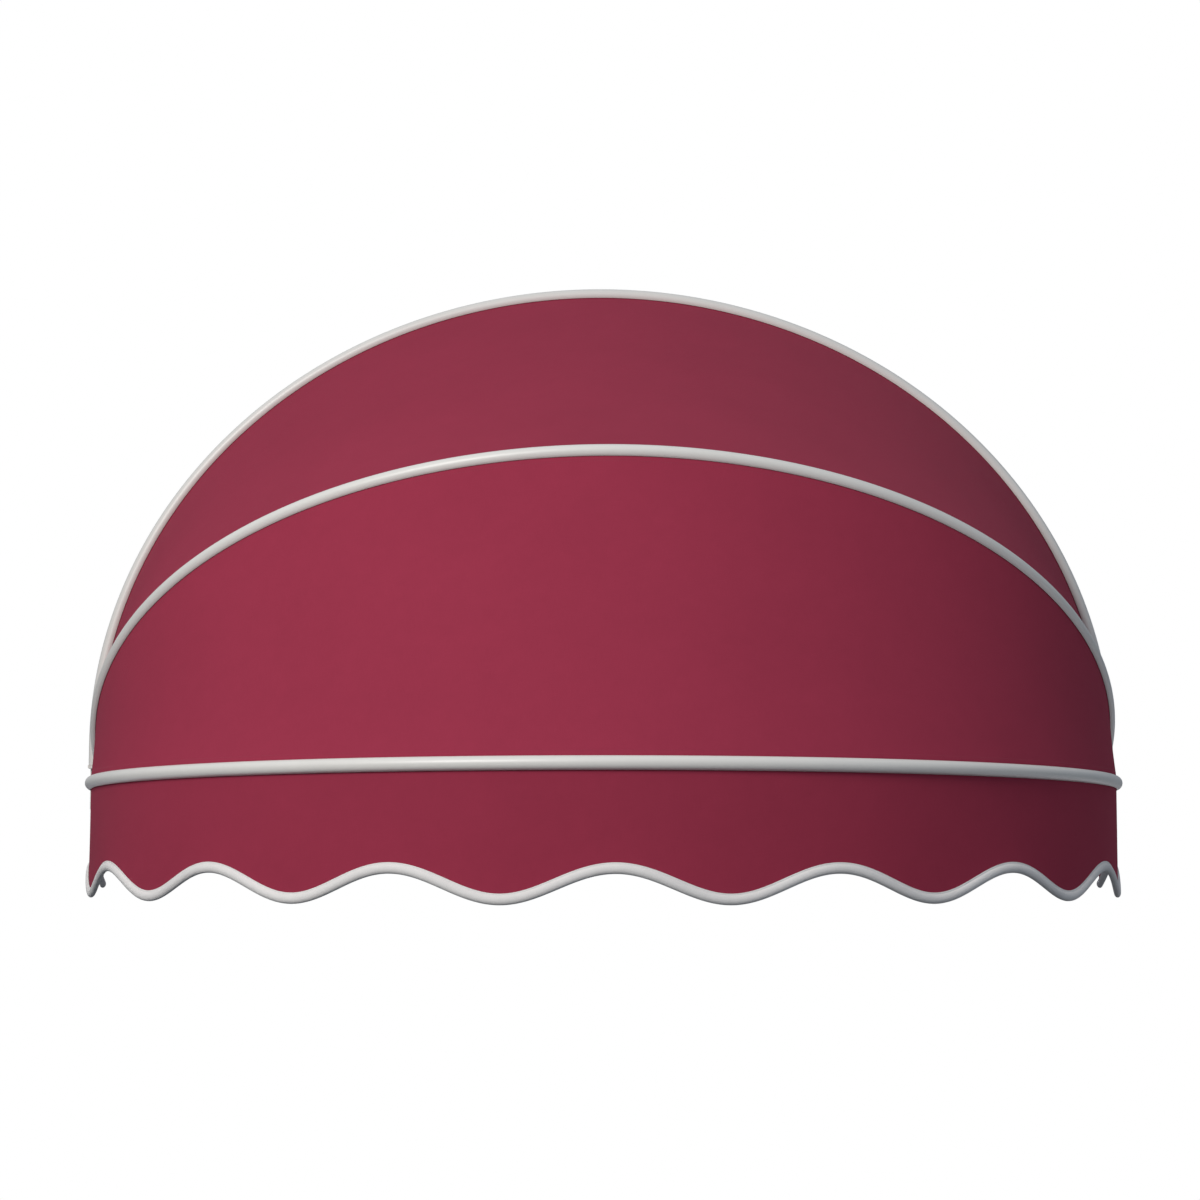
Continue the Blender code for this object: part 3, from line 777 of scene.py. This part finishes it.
def rounded(piece, width):
    """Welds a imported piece's loose faces and rounds its edges, without touching its mesh."""
    weld = piece.modifiers.new("Weld", "WELD")
    weld.merge_threshold = 1e-5
    round_off = piece.modifiers.new("Round edges", "BEVEL")
    round_off.width, round_off.segments = width, 2
    round_off.limit_method, round_off.angle_limit = "ANGLE", radians(40)
    round_off.harden_normals = False


class AWNING_OT_fittings(bpy.types.Operator):
    """Finishes the wall brackets, the bows' knuckles and the wall clips"""

    bl_idname = "awning.fittings"
    bl_label = "Brackets and Knuckles"

    def execute(self, context):
        sizes = context.scene.awning_sizes
        finishes(context.scene.awning_colours)
        _, mid, front = bows(sizes)
        nodes = [f"{hand}_{part}" for hand in HANDS
                 for part in ("wall_bracket", "mid_bow_knuckle", "front_bow_knuckle")]
        for name in nodes + [f"wall_clip_{number}" for number in range(1, 5)]:
            piece = frame["nodes"][name]
            piece.data.materials.clear()
            piece.data.materials.append(bpy.data.materials["white_coat_on_steel"])
            rounded(piece, 0.00035)
        for hand, side in HANDS.items():
            for label, bow, body in (("mid", mid, "middle_arch"), ("front", front, "front_arch")):
                ferrule(f"{hand}_{label}_bow_ferrule", bow, side, body, sizes.tube_radius)
        return {"FINISHED"}


def ferrule(name, bow, side, body, radius):
    """A smooth sleeve round a knuckle's block: a ring profile turned about the leg's line."""
    start, end, thick = 0.0166, bow.foot - 0.0002, 0.0005
    profile = np.array([[start, 0.0003], [start + 0.0004, 0], [end, 0], [end, -0.0003], [start, -0.0003]])
    turn = np.arange(48) * 2 * pi / 48
    reach = radius + thick + np.where(profile[:, 1] < 0, profile[:, 1], -profile[:, 1])
    rings = np.stack([side * bow.half_width + reach * np.cos(turn)[:, None],
                      np.broadcast_to(-profile[:, 0], (48, 5)), reach * np.sin(turn)[:, None]], -1)
    settle(make(name, [skin(bow.world(rings), loop=True)], "white_coat_on_steel"), body, "fitting_coat")


def turned(profile, seat, sides=32, hexes=()):
    """A solid turned about X: each row of the profile is (x, radius), and a row listed in `hexes` is a
    hexagon of that width across its flats instead of a circle."""
    axes, origin = seat
    turn = np.arange(sides) * 2 * pi / sides
    hexagon = 1 / np.cos((turn + pi / 6) % (pi / 3) - pi / 6)
    rings = []
    for row, (x, radius) in enumerate(profile):
        reach = radius * (hexagon if row in hexes else 1)
        rings.append(np.stack([np.full(sides, x), reach * np.cos(turn), reach * np.sin(turn)], 1))
    return skin(np.array(rings) @ axes.T + origin)


def bored(profile, radii, seat, sides=36):
    """A ring turned about X from a closed profile of (x, radius); `radii` may pull a radius in by angle."""
    axes, origin = seat
    turn = np.arange(sides) * 2 * pi / sides
    x, radius = np.array(profile).T
    reach = radii(np.broadcast_to(radius, (sides, len(x))), turn[:, None])
    rings = np.stack([np.broadcast_to(x, reach.shape), reach * np.cos(turn)[:, None],
                      reach * np.sin(turn)[:, None]], -1)
    return skin(rings @ axes.T + origin, loop=True)


def hexagonal(across):
    """Pulls a radius in to a hexagon of the given width across its flats."""
    return lambda radius, turn: np.minimum(radius, across / 2 / np.cos((turn + pi / 6) % (pi / 3) - pi / 6))


class AWNING_OT_pivots(bpy.types.Operator):
    """Makes the pivots' bolts, nuts and washers"""

    bl_idname = "awning.pivots"
    bl_label = "Pivots"

    def execute(self, context):
        finishes(context.scene.awning_colours)
        for hand, side in HANDS.items():
            for pivot, body in (("mid", "wall_frame"), ("front", "middle_arch")):
                self.pivot(f"{hand}_{pivot}_pivot", side, PIVOTS[pivot + "_fold"], body)
        return {"FINISHED"}

    def pivot(self, name, side, axis, body):
        """Each piece is turned about the pivot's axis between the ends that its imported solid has."""
        axes = np.diag([side, 1.0, 1.0])

        def ends(part):
            low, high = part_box(f"{name}_{part}")
            return sorted((abs(low.x), abs(high.x)))

        seat = axes, np.array([0, axis[1], axis[2]])
        low, high = ends("bolt")
        under = high - 0.0034
        dome = [(high - 0.0022, 0.0018), (high - 0.0002, 0.0018), (high, 0.0024), (high - 0.0003, 0.0036),
                (high - 0.0010, 0.0047), (high - 0.0020, 0.0052), (under + 0.0003, 0.0052), (under, 0.0049)]
        shank = [(under, 0.0030), (low + 0.0006, 0.0030), (low, 0.0024)]
        bolt = make(name + "_bolt_turned", [turned(dome + shank, seat, 36, (0, 1))], "zinc_plate")
        low, high = ends("nut")
        nut_profile = [(low, 0.0034), (low, 0.0046), (low + 0.0006, 0.0056), (high - 0.0004, 0.0058),
                       (high, 0.0050), (high, 0.0034)]
        nut = make(name + "_nut_turned", [bored(nut_profile, hexagonal(0.0090), seat)], "zinc_plate")
        low, high = ends("washer")
        ring = [(low, 0.0034), (low, 0.0067), (low + 0.0003, 0.0070), (high - 0.0003, 0.0070), (high, 0.0067),
                (high, 0.0034)]
        disc = bored(ring, lambda radius, turn: radius + 0 * turn, seat, 40)
        washer = make(name + "_washer_turned", [disc], "natural_nylon")
        settle(bolt, body, "zinc_steel", name + "_bolt")
        settle(nut, body, "zinc_steel", name + "_nut")
        settle(washer, body, "nylon", name + "_washer")


class AWNING_OT_guides(bpy.types.Operator):
    """Makes the eyes for the pull cord and the screws of the wall clips"""

    bl_idname = "awning.guides"
    bl_label = "Cord Eyes and Clip Screws"

    def execute(self, context):
        sizes = context.scene.awning_sizes
        finishes(context.scene.awning_colours)
        wall, mid, front = bows(sizes)
        for label, bow, body in (("wall", wall, "wall_frame"), ("mid", mid, "middle_arch"),
                                 ("front", front, "front_arch")):
            shells = self.eye(bow.seat(pi / 2), sizes.tube_radius + 0.0003)
            piece = make(f"cord_eye_{label}_bow", shells, "stainless_wire")
            settle(piece, body, "guide_steel", f"cord_guide_{label}_bow")
        for number, step in enumerate(CLIP_STEPS, start=1):
            axes, _ = wall.seat((step + 0.5) * pi / CAD_STEPS)
            low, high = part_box(f"clip_screw_{number}")
            centre = np.array((low + high) / 2)
            towards = axes[:, 1]
            base = centre - towards * 0.0034
            seat = np.stack([towards, axes[:, 0], axes[:, 2]], 1), base
            head = [(0.0011, 0.0007), (0.0002, 0.0010), (0, 0.0018), (0.0003, 0.0028), (0.0012, 0.0034),
                    (0.0018, 0.0034), (0.0018, 0.0017), (0.0062, 0.0017), (0.0068, 0.0008)]
            piece = make(f"clip_screw_{number}_turned", [turned(head, seat, 32, (0, 1))], "zinc_plate")
            settle(piece, "wall_frame", "zinc_steel", f"clip_screw_{number}")
        return {"FINISHED"}

    def eye(self, seat, face):
        """A wire ring on a plate with rounded ends, held by two rivets, under the bow's crown."""
        axes, origin = seat
        turn, tube = np.meshgrid(np.arange(56) * 2 * pi / 56, np.arange(16) * 2 * pi / 16, indexing="ij")
        radius = 0.0070 + 0.0015 * np.cos(tube)
        centre = -face - 0.0025 - 0.0070
        ring = np.stack([radius * np.cos(turn), centre + radius * np.sin(turn), 0.0015 * np.sin(tube)], 2)
        corner = np.arange(48) * 2 * pi / 48
        outline = np.stack([0.0075 * np.sign(np.cos(corner)) + 0.0045 * np.cos(corner),
                            0.0045 * np.sin(corner)], 1)
        shells = [skin(ring @ axes.T + origin, loop=True)]
        levels = ((0, 0.95), (-0.0003, 1), (-0.0022, 1), (-0.0025, 0.95))
        plate = [np.stack([outline[:, 0] * grow, np.full(48, -face + y), outline[:, 1] * grow], 1)
                 for y, grow in levels]
        shells.append(skin(np.array(plate) @ axes.T + origin))
        for x in (-0.0092, 0.0092):
            rivet = [(0.0, 0.0017), (0.0006, 0.0016), (0.0010, 0.0011), (0.0012, 0.0004)]
            down = np.stack([-axes[:, 1], axes[:, 0], axes[:, 2]], 1)
            shells.append(turned(rivet, (down, origin + axes @ np.array([x, -face - 0.0024, 0])), 20))
        return shells


def aimed(name, data, place, target):
    """A light or camera at a place, looking at a target."""
    made = bpy.data.objects.new(name, data)
    bpy.context.scene.collection.objects.link(made)
    made.location = place
    towards = Vector(target) - made.location
    made.rotation_euler = towards.to_track_quat("-Z", "Y").to_euler()
    return made


class AWNING_OT_stage(bpy.types.Operator):
    """Sets the pale floor, the soft studio light and the camera"""

    bl_idname = "awning.stage"
    bl_label = "Stage"

    def execute(self, context):
        colours = context.scene.awning_colours
        painted_floor("studio_floor", colours.floor)
        turn = np.arange(96) * 2 * pi / 96
        rings = np.stack([np.stack([6 * np.cos(turn), 6 * np.sin(turn), np.full(96, z)], 1)
                          for z in (-1.42, -1.40)])
        floor = make("floor", [skin(rings)], "studio_floor")
        floor.visible_diffuse = False
        self.light("key", (-2.25, -4.10, 2.40), 2.4, 172, (1.0, 0.97, 0.94))
        self.light("fill", (3.2, -3.0, 0.6), 2.5, 8, (0.80, 0.87, 1.0))
        self.world(context)
        self.camera(context)
        context.scene.view_settings.view_transform = "Standard"
        return {"FINISHED"}

    def light(self, name, place, size, power, rgb):
        lamp = bpy.data.lights.new(name, "AREA")
        lamp.shape, lamp.size, lamp.energy, lamp.color = "DISK", size, power, rgb
        aimed(name, lamp, place, (0, -0.35, 0.15))

    def world(self, context):
        """White where it is seen; the light that it gives is a dim, cool grey that fades out below."""
        world = bpy.data.worlds.new("studio")
        world.use_nodes = True
        tree = world.node_tree
        seen, cast = tree.nodes["Background"], tree.nodes.new("ShaderNodeBackground")
        seen.inputs["Color"].default_value, seen.inputs["Strength"].default_value = (1, 1, 1, 1), 1.0
        cast.inputs["Color"].default_value = (0.80, 0.88, 1, 1)
        place, axes = tree.nodes.new("ShaderNodeTexCoord"), tree.nodes.new("ShaderNodeSeparateXYZ")
        fade = tree.nodes.new("ShaderNodeMapRange")
        tree.links.new(place.outputs["Generated"], axes.inputs[0])
        tree.links.new(axes.outputs["Z"], fade.inputs["Value"])
        for socket, value in (("From Min", -1), ("From Max", 1), ("To Min", 0.04), ("To Max", 0.48)):
            fade.inputs[socket].default_value = value
        tree.links.new(fade.outputs["Result"], cast.inputs["Strength"])
        rays, chosen = tree.nodes.new("ShaderNodeLightPath"), tree.nodes.new("ShaderNodeMixShader")
        tree.links.new(rays.outputs["Is Camera Ray"], chosen.inputs[0])
        tree.links.new(cast.outputs[0], chosen.inputs[1])
        tree.links.new(seen.outputs[0], chosen.inputs[2])
        tree.links.new(chosen.outputs[0], tree.nodes["World Output"].inputs["Surface"])
        context.scene.world = world

    def camera(self, context):
        lens = bpy.data.cameras.new("camera")
        lens.lens, lens.sensor_width = 92.5, 36
        lens.clip_start, lens.clip_end = 0.1, 100
        camera = bpy.data.objects.new("camera", lens)
        context.scene.collection.objects.link(camera)
        camera.location = (-0.090, -4.579, -0.203)
        camera.rotation_euler = (pi / 2 + 0.100, 0, -0.0189)
        context.scene.camera = camera


class AWNING_PT_panel(bpy.types.Panel):
    """Lists the awning's operators, sizes and colours"""

    bl_idname = "AWNING_PT_panel"
    bl_label = "Dome Awning"
    bl_space_type = "VIEW_3D"
    bl_region_type = "UI"
    bl_category = "Awning"

    def draw(self, context):
        for operator in OPERATORS:
            self.layout.operator(operator.bl_idname)
        for group in (context.scene.awning_sizes, context.scene.awning_colours):
            box = self.layout.box()
            for name in group.bl_rna.properties.keys():
                if name not in ("rna_type", "name"):
                    box.prop(group, name)


OPERATORS = (AWNING_OT_bows, AWNING_OT_canopy, AWNING_OT_valance, AWNING_OT_fittings, AWNING_OT_pivots,
             AWNING_OT_guides, AWNING_OT_stage)
CLASSES = (AwningSizes, AwningColours, *OPERATORS, AWNING_PT_panel)


def register():
    for cls in CLASSES:
        bpy.utils.register_class(cls)
    bpy.types.Scene.awning_sizes = bpy.props.PointerProperty(type=AwningSizes)
    bpy.types.Scene.awning_colours = bpy.props.PointerProperty(type=AwningColours)


def unregister():
    del bpy.types.Scene.awning_sizes
    del bpy.types.Scene.awning_colours
    for cls in reversed(CLASSES):
        bpy.utils.unregister_class(cls)


def main():
    register()
    for operator in OPERATORS:
        group, name = operator.bl_idname.split(".")
        getattr(getattr(bpy.ops, group), name)()


if __name__ == "__main__":
    main()
